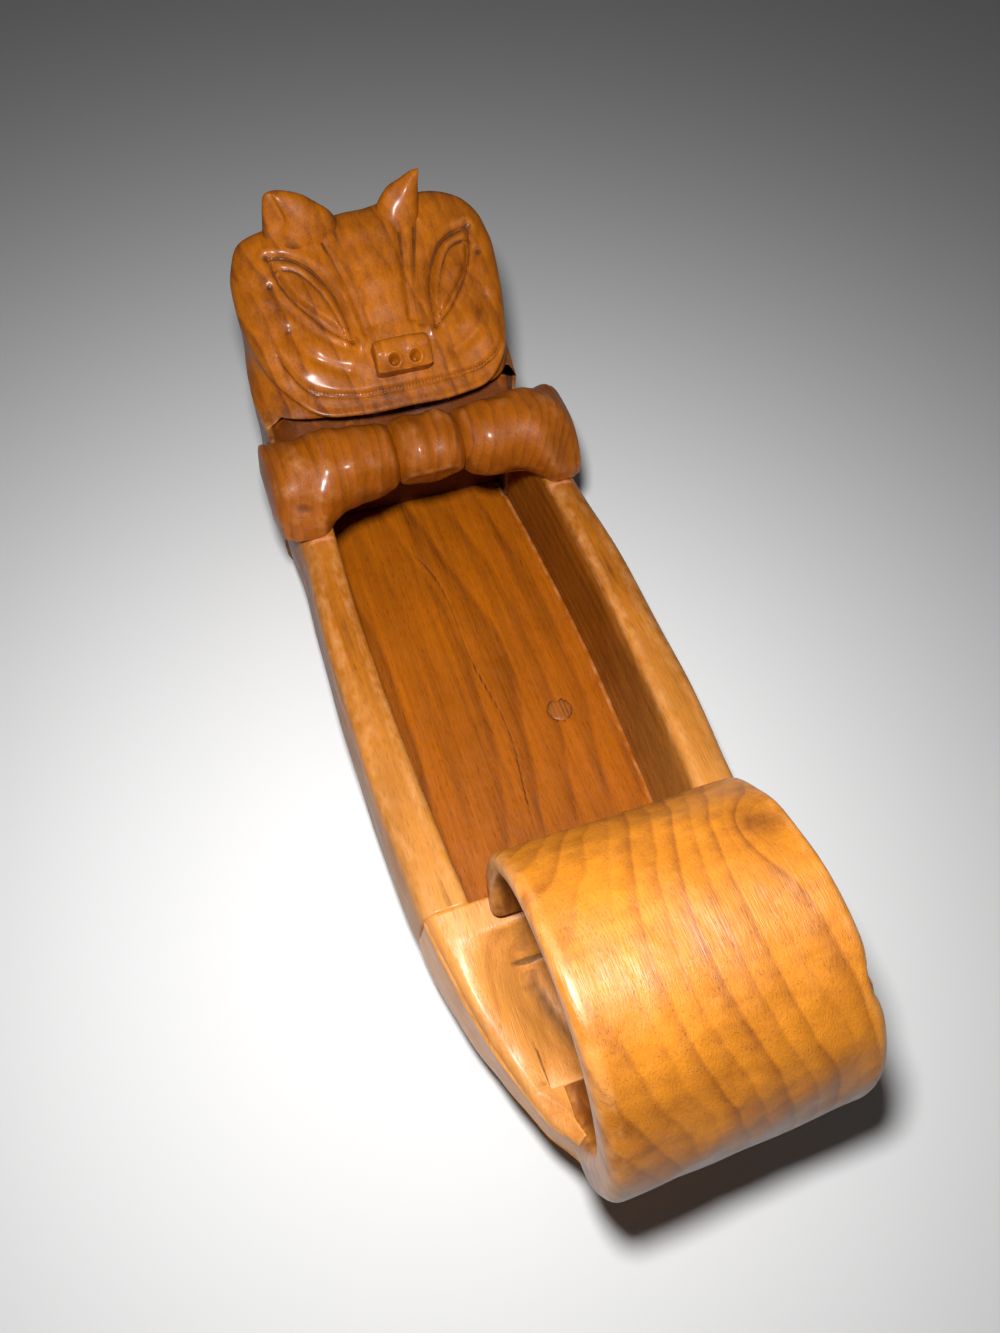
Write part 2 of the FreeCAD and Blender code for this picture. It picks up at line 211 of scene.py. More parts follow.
def deck_height(y):
    """Inside of the roll carried back as the deck: the eye's circle, cut just under the rim."""
    inside = EYE_Z - np.sqrt(np.maximum(EYE_R**2 - (y - EYE_Y) ** 2, 0.0))
    return np.minimum(inside, RIM_Z - 1.0)


# face features, as (across, up the face) in millimetres
EYE_UPPER = [(37.5, 60.0), (31.5, 59.0), (25.5, 55.0), (20.8, 49.0), (17.5, 41.0), (16.2, 33.0), (15.8, 25.0)]
EYE_LOWER = [(37.5, 60.0), (36.4, 52.5), (34.6, 46.8), (30.0, 39.3), (24.2, 32.0), (18.6, 26.8), (15.8, 25.0)]
BALL_UPPER = [(35.6, 55.0), (29.0, 52.8), (23.6, 46.0), (20.2, 38.0), (18.6, 31.0)]
BALL_LOWER = [(35.2, 53.0), (32.6, 45.0), (28.0, 39.4), (22.6, 33.0), (18.6, 29.0)]
MOUTH = [(-47.0, 33.0), (-44.6, 25.5), (-41.8, 18.2), (-38.1, 12.4), (-31.2, 8.9), (-21.5, 6.6), (-12.2, 6.1),
         (-1.6, 5.9), (9.5, 6.4), (20.5, 7.1), (29.5, 9.2), (35.5, 13.0), (39.6, 18.6), (42.0, 25.0)]


def distance(x, s, points, count=60):
    """Distance from every (x, s) to a smooth line through points, and how far along it the nearest place is."""
    line = path_through(points, count)
    flat_x, flat_s = x.ravel(), s.ravel()
    d = (flat_x[:, None] - line[None, :, 0]) ** 2 + (flat_s[:, None] - line[None, :, 1]) ** 2
    near = d.argmin(1)
    return np.sqrt(d[np.arange(len(near)), near]).reshape(x.shape), (near / (count - 1.0)).reshape(x.shape)


def face_relief(x, s):
    """Height of the carving above the flat of the face: broad forms, then cut lines as V grooves."""
    h = 2.2 * bump(x, -1.6, 13) * smooth(20, 45, s) * (1 - smooth(60, 76, s))
    h = h + 1.6 * bump(x, -1.6, 24) * bump(s, 15, 13)
    for side in (-1.0, 1.0):
        u = (x + 1.6) * side
        # the eye bulges inside its lids
        ex, es = u - 25.5, s - 42.0
        along = ex * 0.50 + es * 0.866
        across = ex * 0.866 - es * 0.50
        h = h + 1.9 * np.exp(-(along / 15.5) ** 2 - (across / 5.2) ** 2)
        up, tu = distance(u, s, EYE_UPPER)
        lo, tl = distance(u, s, EYE_LOWER)
        h = h - 2.1 * np.exp(-((up / 1.0) ** 1.3)) * smooth(-0.05, 0.1, tu)
        h = h - 1.5 * np.exp(-((lo / 0.9) ** 1.3)) * smooth(-0.05, 0.1, tl)
        # lid ridges outside the cuts
        h = h + 0.35 * np.exp(-(((up - 3.0) / 1.6) ** 2)) + 0.3 * np.exp(-(((lo - 2.8) / 1.5) ** 2))
        bu, _ = distance(u, s, BALL_UPPER)
        bl, _ = distance(u, s, BALL_LOWER)
        h = h - 0.7 * np.exp(-((bu / 0.8) ** 2)) - 0.8 * np.exp(-((bl / 0.9) ** 2))
        # folds that run from the eyes to the snout and over the cheek
        fold, _ = distance(u, s, [(39.0, 50.0), (36.6, 44.0), (30.5, 34.5), (22.5, 26.0), (16.0, 22.2)])
        h = h - 1.1 * np.exp(-((fold / 1.6) ** 2))
        crease, _ = distance(u, s, [(37.0, 33.0), (31.5, 22.0), (20.0, 15.0)])
        h = h - 1.3 * np.exp(-((crease / 2.4) ** 2))
        h = h + 1.8 * np.exp(-(((u - 33.0) / 8.0) ** 2) - (((s - 22.0) / 9.0) ** 2))
        brow, _ = distance(u, s, [(12.0, 66.0), (10.6, 56.0), (9.0, 44.0), (7.6, 30.0)])
        h = h - (1.5 if side > 0 else 0.9) * np.exp(-((brow / 1.7) ** 2))
        brow2, _ = distance(u, s, [(18.0, 64.0), (14.6, 52.0), (11.8, 40.0), (10.6, 27.0)])
        h = h - (1.2 if side > 0 else 0.8) * np.exp(-((brow2 / 1.3) ** 2))
    mouth, tm = distance(x, s, MOUTH, 90)
    ends = smooth(0.02, 0.12, tm) * smooth(0.98, 0.88, tm)
    below = smooth(0.0, 1.0, through([(p[0], p[1]) for p in MOUTH], x) - s)
    h = h - 1.5 * ends * np.exp(-((mouth / 0.9) ** 1.4)) - 1.0 * ends * below
    return h


OUTLINE_FACE = [(0, -1.0), (20, -0.6), (32, 2.2), (40.5, 11.5), (45.5, 27), (48.2, 44), (48, 60), (44, 70),
                (35, 75.5), (20, 76.5), (0, 73.5), (-20, 73), (-34, 72.5), (-44, 69.5), (-49.5, 61),
                (-51.5, 47), (-49.5, 29), (-42.5, 12.5), (-33, 2.2), (-20, -0.6)]
FLANK_LEFT = [(88, -47), (95, -52.5), (103, -55.5), (112, -56.5), (130, -55.5), (147, -51), (166, -40)]
FLANK_RIGHT = [(88, 32), (95, 36), (110, 42), (127, 44.6), (147, 44), (166, 34)]


def head_loops(marks):
    """The head as rings about the middle of the face. The inner rings spread over the face plane; the outer
    ones turn the corner and run back and down to the neck. The carving is added square to the face."""
    nt = 400
    keys = np.array(OUTLINE_FACE, float)
    ang = np.unwrap(np.arctan2(keys[:, 1] - FACE_MIDDLE, keys[:, 0]))
    rad = np.hypot(keys[:, 1] - FACE_MIDDLE, keys[:, 0])
    wide = np.concatenate([ang - TURN, ang, ang + TURN])
    reach_keys = np.stack([wide, np.tile(rad, 3)], 1)
    t = np.linspace(-np.pi, np.pi, nt, endpoint=False)
    reach = through(reach_keys, t)
    cos_t, sin_t = np.cos(t)[None, :], np.sin(t)[None, :]
    outer_rings = 0.88 + 0.12 * np.sin(np.linspace(0, np.pi / 2, 27)[1:])
    q = np.concatenate([np.linspace(0.004, 0.88, 150), outer_rings])
    x = q[:, None] * reach[None, :] * cos_t
    s = FACE_MIDDLE + q[:, None] * reach[None, :] * sin_t
    edge = reach[None, :] * (1 - q[:, None])
    round_by = 1.2 + 4.4 * smooth(2, 34, s)
    width = 3.0 + 8.0 * smooth(2, 34, s)
    roll = round_by * (1 - np.sqrt(np.clip(1 - np.clip(1 - edge / width, 0, 1) ** 2.4, 0, 1)))
    out = face_relief(x + HEAD_X, s) * smooth(0.0, 4.0, edge) - roll
    out = out - 0.0011 * x**2 * smooth(15, 60, s)
    y = CHIN_Y + s * math.cos(FACE_TILT) - out * math.sin(FACE_TILT)
    z = CHIN_Z + s * math.sin(FACE_TILT) + out * math.cos(FACE_TILT)
    drop = np.linspace(0.0, 1.0, 46)[1:, None]
    x1, y1, z1 = x[-1][None, :], y[-1][None, :], z[-1][None, :]
    fall = z1 - NECK_TOP
    yn = np.minimum(y1 + 1.5 + fall * 0.40, HEAD_BACK)
    side_y = y1 + (yn - y1) * np.sin(drop * np.pi / 2) ** 0.8
    foot_x = np.where(x1 < 0, through(FLANK_LEFT, yn), through(FLANK_RIGHT, yn)) - HEAD_X
    swing = smooth(24, 44, np.abs(x1)) * smooth(0.0, 1.0, drop)
    side_x = x1 + (foot_x - x1) * swing
    side_z = z1 - fall * drop
    x = np.concatenate([x, side_x]) + HEAD_X
    y = np.concatenate([y, side_y])
    z = np.concatenate([z, side_z])
    r = marks * ripple(x, y, z, 15.0, 11)
    return np.stack([x, y, z + r * smooth(74.0, 80, z)], -1)


def rounded_outline(a, b, r, n):
    """n evenly spaced points round a rectangle of half-sizes a and b with corners of radius r, for a column of
    sections at once: four straights and four quarter circles, one after another."""
    a, b, r = (np.asarray(v, float).reshape(-1, 1) for v in (a, b, r))
    lengths = [2 * (b - r), np.pi / 2 * r, 2 * (a - r), np.pi / 2 * r] * 2
    total = sum(lengths)
    d = np.linspace(0, 1, n, endpoint=False)[None, :] * total
    x = np.zeros_like(d)
    w = np.zeros_like(d)
    start = np.zeros_like(total)
    for k, length in enumerate(lengths):
        part = np.clip((d - start) / np.maximum(length, 1e-9), 0, 1)
        here = (d >= start) & (d < start + length + 1e-9)
        turn = k // 2 * np.pi / 2
        if k % 2 == 0:
            px, pw = [(a, -(b - r) + part * 2 * (b - r)), (a - r - part * 2 * (a - r), b),
                      (-a, (b - r) - part * 2 * (b - r)), (-(a - r) + part * 2 * (a - r), -b)][k // 2]
        else:
            ang = turn + part * np.pi / 2
            ox, ow = [(a - r, b - r), (r - a, b - r), (r - a, r - b), (a - r, r - b)][k // 2]
            px, pw = ox + r * np.cos(ang), ow + r * np.sin(ang)
        x = np.where(here, px, x)
        w = np.where(here, pw, w)
        start = start + length
    return x, w


def scroll_loops(marks):
    """The roll as sections across its strip: the outside is a circle, the inside a smaller circle set off
    towards the tip, so the strip is thick at the front and thin where it comes down on the deck."""
    phi = np.radians(np.linspace(ROLL_START, ROLL_END, 230))[:, None]
    dirs = np.cos(phi), np.sin(phi)
    off_y, off_z = EYE_Y - SCROLL_Y, EYE_Z - SCROLL_Z
    off = off_y * dirs[0] + off_z * dirs[1]
    inner = off + np.sqrt(off**2 - (off_y**2 + off_z**2 - EYE_R**2))
    outer = SCROLL_R + 0 * phi
    thick = (outer - inner) / 2
    x, w = rounded_outline(SCROLL_HALF + 0 * phi, thick, np.minimum(3.6, thick * 0.8), 168)
    turned = np.degrees(phi)
    foot_worn = 0.10 * smooth(200, 250, turned) * (x < 0)
    top_worn = 0.045 * bump(turned, 80, 45) * (x > 0)
    x = x * (1 - foot_worn - top_worn) + SCROLL_X
    w = w - 1.8 * smooth(205, 245, turned) * smooth(5, -34, x) * (w > 0)
    rho = (outer + inner) / 2 + w
    rho = rho + marks * 0.8 * ripple(x, 40 * np.cos(phi) + 0 * x, 40 * np.sin(phi) + 0 * x, 22.0, 21)
    y = SCROLL_Y + rho * dirs[0]
    z = SCROLL_Z + rho * dirs[1]
    y = np.where(turned > 228, np.minimum(y, SCROLL_FOOT_Y - 0.02), y)
    # a chip is gone from the right edge
    chip = np.exp(-(((x - CHIP_X) / 3.2) ** 2) - (((turned - CHIP_ANGLE) / 7.0) ** 2)) * (w > 0)
    cut = CHIP_DEPTH * chip
    return np.stack([x - cut, y - cut * dirs[0], z - cut * dirs[1]], -1)


def prow_loops(marks):
    """Sections of the prow: flat below with a rounded corner, swelling sides, a rounded rim, then the deck
    dished as the inside of the roll. Past the roll's foot only the two thin cheeks stand beside it."""
    ys = np.concatenate([np.linspace(HOLLOW_FRONT, SCROLL_FOOT_Y + 0.05, 70),
                         np.linspace(SCROLL_FOOT_Y - 0.05, -157.5, 26)])
    w = through(OUTER, ys)[:, None]
    low = through(UNDER, ys)[:, None]
    cheek = through(CHEEK, ys)[:, None]
    beside = ys[:, None] < SCROLL_FOOT_Y
    deck = np.where(beside, low + 0.3, deck_height(ys)[:, None])
    k = np.linspace(0, 1, 14)[None, :]
    ang = np.linspace(-np.pi / 2, 0, 7)[None, :]
    fade = 1 - 0.6 * smooth(-100, -150, ys)[:, None]
    rb, rt = 3.5, 3.0
    foot = w + belly(low) * fade
    bottom = (k * (foot - rb), low + 0 * k)
    corner = (foot - rb + rb * np.cos(ang), low + rb + rb * np.sin(ang))
    side_z = (low + rb) + (cheek - rt - low - rb) * k
    side = (w + belly(side_z) * fade, side_z)
    ang2 = np.linspace(0, np.pi / 2, 7)[None, :]
    top_corner = (w - rt + rt * np.cos(ang2), cheek - rt + rt * np.sin(ang2))
    span = w - rt
    wall_x = np.minimum(34.2, span - 0.1)
    k3 = np.linspace(0, 1, 12)[None, :]
    k4 = np.linspace(0, 1, 36)[None, :] ** 1.3
    deck_x = np.concatenate([span + (wall_x - span) * k3,
                             (wall_x - 0.12) * (1 - k4)], 1)
    soft = cheek + (deck - cheek) * smooth(span - 1.0, np.minimum(span - 19.0, 26.0), deck_x)
    hard = np.where(deck_x > wall_x - 0.06, cheek, deck)
    f = smooth(-124, -140, ys)[:, None]
    dish = (deck_x, np.where(beside, hard, soft * (1 - f) + hard * f))
    parts = (bottom, corner, side, top_corner, dish)
    x = np.concatenate([p[0] + 0 * p[1] for p in parts], 1)
    z = np.concatenate([p[1] + 0 * p[0] for p in parts], 1)
    x = np.concatenate([x, -x[:, -2:0:-1]], 1)
    z = np.concatenate([z, z[:, -2:0:-1]], 1)
    y = ys[:, None] + 0 * x
    # the slot between the cheeks follows the roll's foot, which stands a little right and is worn at the left
    slot = smooth(38, 34.4, np.abs(x)) * beside
    x = x + slot * (1.1 + 2.3 * (x < 0) * smooth(-160, -139, ys)[:, None])
    z = z - 0.9 * smooth(w - 5, w, np.abs(x)) * smooth(44, 49, z) * smooth(-112, -86, ys)[:, None]
    r = marks * ripple(x, y * 0.4, z, 15.0, 31)
    z = z + r * smooth(30, 44, z) * (ys[:, None] > -137)
    x = x + r * np.sign(x) * smooth(38, 44, np.abs(x)) * smooth(4, 12, z)
    crease = np.exp(-(((y - CREASE_Y) / 0.7) ** 2)) * smooth(-36, -30, x) * smooth(40, 20, np.abs(x))
    z = z - 0.9 * crease * (z > 30)
    return np.stack([x, y, z], -1)


def rail_section_loops(side, marks):
    """Sections of a wall across the dish: an upright rounded rectangle, swollen outwards at its belly."""
    ys = np.linspace(HOLLOW_FRONT, HOLLOW_REAR, 190)
    outer = through(OUTER, ys)[:, None]
    inner = through(INNER, ys)[:, None]
    mid, half = (outer + inner) / 2, (outer - inner) / 2
    a, b = rounded_outline(half, RIM_Z / 2 + 0 * half, 3.0 + 0 * half, 120)
    x, z, y = mid + a, RIM_Z / 2 + b, ys[:, None] + 0 * a
    x = x + belly(z) * smooth(-1, 4, a)
    if side < 0:
        x = x + 3.0 * smooth(50, 90, y) * smooth(-1, 4, a)
    r = marks * ripple(x, y * 0.4, z, 15.0, 31)
    z = z + r * smooth(40, 48, z) - 0.9 * smooth(1, 6, a) * smooth(44, 49, z)
    x = x + r * smooth(0, 4, a) * smooth(4, 12, z)
    return np.stack([side * x, y, z], -1)


BODY_BACK = [(53.5, 94.0), (50.5, 107.0), (47.0, 123.0), (44.5, 142.0), (36.5, 158.0), (22.0, 165.6),
             (-3.0, 166.9), (-28.0, 165.6), (-43.0, 160.0), (-51.0, 148.0), (-56.0, 130.0), (-58.0, 110.0),
             (-58.4, 94.0)]
NECK_BACK = [(40.5, 95.0), (42.4, 110.0), (44.2, 127.0), (43.6, 147.0), (36.0, 158.5), (21.5, 164.5),
             (-3.0, 166.0), (-27.5, 164.5), (-42.0, 158.5), (-50.5, 147.0), (-55.3, 130.0), (-56.6, 112.0),
             (-55.4, 95.0)]


def body_loops(marks):
    """Sections of the body from the ground up to the neck: a straight breast closed by a rounded back, blended
    from the broad lower outline to the narrower neck, with the pocket that the hollow runs into."""
    zs = np.concatenate([[0.0, 0.4, 1.2, 2.4, 4.0], np.linspace(6, 45.8, 30), np.linspace(46.2, 73.4, 34)])
    n = 150
    back_low = path_through(BODY_BACK, n)
    back_high = path_through(NECK_BACK, n)
    f = smooth(34, 58, zs)[:, None, None]
    back = back_low[None] * (1 - f) + back_high[None] * f
    k = np.linspace(0, 1, 122)[None, 1:-1]
    fx = back[:, -1:, 0] * (1 - k) + back[:, :1, 0] * k
    lean = BODY_FRONT + 7.5 * smooth(54, 75, zs)[:, None] * smooth(-56, -44, fx)
    lean = lean + 4.0 * np.exp(-((fx / 9.0) ** 2)) * smooth(50, 66, zs)[:, None]
    pocket = (np.abs(fx) < POCKET_HALF) & (zs[:, None] < POCKET_TOP)
    fy = np.where(pocket, POCKET_REAR + 0.1, lean + 0 * fx)
    x = np.concatenate([back[:, :, 0], fx], 1)
    y = np.concatenate([back[:, :, 1], fy], 1)
    z = zs[:, None] + 0 * x
    inset = 4.0 * (1 - np.sqrt(np.clip(1 - (1 - np.clip(zs / 4.0, 0, 1)) ** 2, 0, 1)))[:, None]
    x[:, :n] = x[:, :n] * (1 - inset / 55.0)
    y[:, :n] = BODY_FRONT + (y[:, :n] - BODY_FRONT) * (1 - inset / 73.0)
    r = marks * 1.4 * ripple(x, y * 0.6, z, 18.0, 41) * smooth(4, 12, z)
    x[:, :n] = x[:, :n] + (r * np.sign(x))[:, :n] * 0.9
    return np.stack([x, y, z], -1)


def arm_loops(side, marks):
    """A forearm as upright sections from the middle outwards. Each section is an oval whose front, back, top
    and underside follow their own curves; past the wall it is only the upper part, standing on the rail."""
    u = np.concatenate([np.linspace(12.7, 17, 14), np.linspace(17.4, 41.4, 52), np.linspace(41.7, 50, 20),
                        np.linspace(50.4, 58.1, 34)])
    fuller = 1.4 if side > 0 else 0.0
    front = through([(12.6, 72.6), (14.5, 70.4), (18, 68.6), (24, 67.4), (30, 66.4), (36, 64.4), (41, 61.4),
                     (44, 59.7), (50, 59.4), (54, 60.6), (57, 65.5), (58.2, 74.0)], u)[:, None]
    front = front - fuller * bump(u, 26, 14)[:, None]
    back = through([(12.6, 94.5), (40, 96.5), (48, 100.0), (54, 103.0), (57, 101.0), (58.2, 92.0)], u)[:, None]
    high = through([(12.6, 68.0), (14.5, 70.6), (18, 72.2), (27, 74.0), (36, 74.4), (44, 73.6), (50, 71.4),
                    (54, 68.6), (56.8, 64.5), (58.2, 59.5)], u)[:, None]
    low = through([(12.6, 50.0), (14.5, 48.4), (18, 47.2), (27, 46.2), (34, 46.4), (38, 45.5), (41.5, 42.0),
                   (45, 31.0), (50, 30.0), (54, 33.5), (57, 40.0), (58.2, 45.5)], u)[:, None]
    t = np.linspace(0, TURN, 128, endpoint=False)[None, :]
    c, s = np.cos(t), np.sin(t)
    y = (front + back) / 2 + (back - front) / 2 * np.sign(c) * np.abs(c) ** 0.94
    z = (high + low) / 2 + (high - low) / 2 * np.sign(s) * np.abs(s) ** 0.94
    slope = smooth(38, 50, u)[:, None] * smooth(76, 60, y) * smooth(50, 66, z)
    z = z - 3.0 * slope
    z = np.where(u[:, None] > 41.5, np.maximum(z, RIM_Z + 0.05), z)
    x = u[:, None] + 0 * y
    x = x + (3.2 * smooth(38, 58, x) if side < 0 else 0.0)
    r = marks * 1.3 * ripple(x, y * 0.8, z, 13.0, 51 if side > 0 else 52)
    lift = smooth(50.1, 52, z)
    x = x + 0.3 * r * smooth(50, 56, u)[:, None] * lift
    return np.stack([side * x, y + r * c * lift, z + r * s * lift], -1)


def paw_loops(marks):
    """The folded paws as upright ovals between the two creases, with a knuckle facet low on the front."""
    u = np.linspace(-12.9, 12.9, 64)
    e = np.abs(u)
    front = through([(0, 67.4), (6, 67.8), (10, 69.4), (12.9, 73.0)], e)[:, None]
    back = 94.5 + 0 * front
    high = through([(0, 71.6), (6, 71.8), (10, 70.6), (12.9, 67.0)], e)[:, None]
    low = through([(0, 46.4), (6, 46.9), (10, 48.0), (12.9, 50.5)], e)[:, None]
    high = high + 0.8 * bump(u, -5.5, 3.0)[:, None] + 0.8 * bump(u, 5.0, 3.0)[:, None]
    t = np.linspace(0, TURN, 112, endpoint=False)[None, :]
    c, s = np.cos(t), np.sin(t)
    y = (front + back) / 2 + (back - front) / 2 * np.sign(c) * np.abs(c) ** 0.9
    z = (high + low) / 2 + (high - low) / 2 * np.sign(s) * np.abs(s) ** 0.9
    facet = np.maximum(0.0, ((71.5 - y) * 0.8 + (56.0 - z) * 0.6))
    y = y + facet * 0.55
    z = z + facet * 0.3
    x = u[:, None] + 0 * y
    r = marks * 1.6 * ripple(x, y, z, 9.0, 61)
    return np.stack([x, y + r * c, z + r * s], -1)


def ear_loops(keys, hollow, marks):
    """An ear as level ovals stacked up to its tip; a smooth dent on one side makes the cup."""
    k = np.array(keys, float)
    t = np.linspace(0, 1, 54)
    centre = [through(np.stack([np.linspace(0, 1, len(k)), k[:, c]], 1), t)[:, None] for c in range(5)]
    a = np.linspace(0, TURN, 96, endpoint=False)[None, :]
    dent = 1 - hollow * np.exp(-(((a - 3.9) / 0.55) ** 2)) * smooth(0.15, 0.5, t)[:, None]
    x = centre[0] + centre[3] * np.cos(a) * dent
    y = centre[1] + centre[4] * np.sin(a) * dent
    z = centre[2] + 0 * x
    r = marks * ripple(x, y, z, 9.0, 71)
    return np.stack([x + r * np.cos(a), y + r * np.sin(a), z], -1)


def snout_loops(marks):
    """The snout as sections across the face: a rounded block with two nostrils sunk in its front."""
    count = 150
    u = np.linspace(-1, 1, count)
    end = (1 - np.abs(u) ** 7) ** (1 / 2.4)
    a, b = rounded_outline(SNOUT_LONG / 2 * (0.80 + 0.20 * end), SNOUT_DEEP / 2 * (0.84 + 0.16 * end),
                           2.4 * np.ones(count), 220)
    x = (u * SNOUT_HALF)[:, None] + 0 * a
    along = SNOUT_LOW + SNOUT_LONG / 2 + a
    out = -SNOUT_SUNK + SNOUT_DEEP / 2 + b
    front = smooth(4, 8, b)
    out = out - 2.4 * smooth(16.5, 11.0, along) * front + 0.5 * bump(np.abs(x), NOSTRIL_X, 2.6) * front
    for cx in (-NOSTRIL_X, NOSTRIL_X):
        d = np.hypot(x - cx, (along - NOSTRIL_UP) * 1.1)
        out = out - (3.6 * smooth(2.3, 0.5, d) - 0.35 * bump(d, 2.7, 0.6)) * front
    x = x + SNOUT_X
    r = marks * ripple(x, along, out, 7.0, 81)
    y = CHIN_Y + along * math.cos(FACE_TILT) - (out + r) * math.sin(FACE_TILT)
    z = CHIN_Z + along * math.sin(FACE_TILT) + (out + r) * math.cos(FACE_TILT)
    return np.stack([x, y, z], -1)


def board_loops():
    """The bottom board as sections across the dish, with a fine open crack line along its grain."""
    ys = np.concatenate([np.linspace(HOLLOW_FRONT, HOLLOW_REAR, 180), np.linspace(94.3, POCKET_REAR, 10)])
    inner = np.where(ys > BODY_FRONT, POCKET_HALF - 1.0, through(INNER, ys) - 0.1)[:, None]
    k = np.linspace(-1, 1, 150)[None, :]
    x = inner * k
    y = ys[:, None] + 0 * x
    top = FLOOR_Z + 0.12 * ripple(x, y * 0.2, 0 * x, 18.0, 91)
    line = through([(-85, -4.5), (-52, -3.7), (-12.5, 0.4), (12.6, -2.5), (66.6, -6.0), (94, -18.6),
                    (104, -22)], ys)[:, None]
    top = top - 0.35 * np.exp(-(((x - line) / 0.35) ** 2)) * smooth(-70, -40, y) * smooth(85, 60, y)
    hole = np.hypot(x - PLUG_X, y - PLUG_Y)
    top = top - 0.3 * np.exp(-(((hole - 4.6) / 0.5) ** 2))
    bottom_x = x[:, ::-1]
    px = np.concatenate([x, bottom_x], 1)
    pz = np.concatenate([top, 0 * bottom_x], 1)
    py = ys[:, None] + 0 * px
    return np.stack([px, py, pz], -1)


def plug_loops():
    """The plug as a short round pin with a softened, slightly uneven top."""
    zs = np.array([3.0, 5.0, 7.0, 7.8, 8.05, 8.12, 8.14])
    rs = np.array([4.5, 4.5, 4.5, 4.4, 4.1, 3.0, 1.5])
    a = np.linspace(0, TURN, 64, endpoint=False)[None, :]
    rough = 1 + 0.04 * np.sin(3 * a + 0.5) + 0.02 * np.sin(7 * a)
    x = PLUG_X + rs[:, None] * np.cos(a) * rough
    y = PLUG_Y + rs[:, None] * np.sin(a) * rough
    return np.stack([x, y, zs[:, None] + 0 * x], -1)


def skin(name, loops, node, material, spread=3):
    """Build a closed tube and store how hollow each place is: the pull of its neighbours along the normal."""
    piece = build_tube(name, loops, node, material)
    mesh = piece.data
    nu, nv, _ = loops.shape
    normals = np.empty(len(mesh.vertices) * 3)
    mesh.vertices.foreach_get("normal", normals)
    normals = normals.reshape(-1, 3)[2 * nv:(2 + nu) * nv].reshape(nu, nv, 3)
    pad = np.concatenate([np.repeat(loops[:1], spread, 0), loops, np.repeat(loops[-1:], spread, 0)], 0)
    mean = (pad[:nu] + pad[2 * spread:] + np.roll(loops, spread, 1) + np.roll(loops, -spread, 1)) / 4
    hollow = ((mean - loops) * normals).sum(-1)
    full = np.zeros(len(mesh.vertices), dtype=np.float32)
    full[2 * nv:(2 + nu) * nv] = np.clip(hollow, -1, 1).ravel()
    layer = mesh.attributes.new("hollow", "FLOAT", "POINT")
    layer.data.foreach_set("value", full)
    return piece


# ------------------------------------------------------------------ varnished wood
def put(tree, kind, links=(), **values):
    """Add one node, set its plain properties, and link the given (input, output socket) pairs."""
    node = tree.nodes.new(kind)
    for key, value in values.items():
        setattr(node, key, value)
    for name, socket in links:
        tree.links.new(socket, node.inputs[name])
    return node


def maths(tree, operation, a, b=None, clamp=False):
    """One step of arithmetic on sockets or plain numbers."""
    node = tree.nodes.new("ShaderNodeMath")
    node.operation = operation
    node.use_clamp = clamp
    for i, v in enumerate((a, b)):
        if v is None:
            continue
        if isinstance(v, (int, float)):
            node.inputs[i].default_value = v
        else:
            tree.links.new(v, node.inputs[i])
    return node.outputs[0]


def blend_colour(tree, factor, a, b):
    """Mix two colours, given as sockets or values."""
    node = tree.nodes.new("ShaderNodeMix")
    node.data_type = "RGBA"
    node.blend_type = "MIX"
    node.clamp_factor = True
    if isinstance(factor, (int, float)):
        node.inputs[0].default_value = factor
    else:
        tree.links.new(factor, node.inputs[0])
    for i, v in ((6, a), (7, b)):
        if isinstance(v, tuple):
            node.inputs[i].default_value = v
        else:
            tree.links.new(v, node.inputs[i])
    return node.outputs[2]


def noise(tree, vector, stretch, detail=2.0, rough=0.5):
    """Noise on coordinates in millimetres, drawn out by a stretch along each axis."""
    node = put(tree, "ShaderNodeMapping", [("Vector", vector)], vector_type="POINT")
    node.inputs["Scale"].default_value = tuple(1.0 / v for v in stretch)
    tex = put(tree, "ShaderNodeTexNoise", [("Vector", node.outputs[0])])
    tex.inputs["Scale"].default_value = 1.0
    tex.inputs["Detail"].default_value = detail
    tex.inputs["Roughness"].default_value = rough
    return tex


WOOD_COLOURS = {"Light": (0.6, 0.25, 0.04, 1), "Dark": (0.2, 0.05, 0.01, 1)}
WOOD_VALUES = {"Pith X": 0.0, "Pith Z": -60.0, "Lean X": 0.0, "Bow X": 0.0, "Ring": 5.0, "Ring strength": 0.4,
               "Waviness": 8.0, "Mottle": 0.3, "Streaks": 0.5, "Curl": 0.0, "Knot X": 900.0, "Knot Y": 0.0,
               "Shade": 0.0, "Shade top": 46.0, "Shade edge": 5.0, "Seam Y": 900.0, "Fade": 0.0}
# near-black colour of the painted shade laid into the hollows
HOLLOW_SHADE_COLOUR = (0.022, 0.006, 0.003, 1)
WORN_COLOUR = (0.75, 0.44, 0.20, 1)
# pale colour of the painted light on the rails towards the prow
FRONT_LIGHT_COLOUR = (0.80, 0.36, 0.075, 1)
GLUE_COLOUR = (0.55, 0.20, 0.10, 1)


def add(tree, *terms):
    """The sum of sockets and numbers."""
    total = terms[0]
    for term in terms[1:]:
        total = maths(tree, "ADD", total, term)
    return total


def times(tree, a, b, clamp=False):
    """The product of two sockets or numbers."""
    return maths(tree, "MULTIPLY", a, b, clamp=clamp)


def centred(tree, socket, scale):
    """A 0 to 1 socket moved to run about zero, times a scale."""
    return times(tree, maths(tree, "SUBTRACT", socket, 0.5), scale)


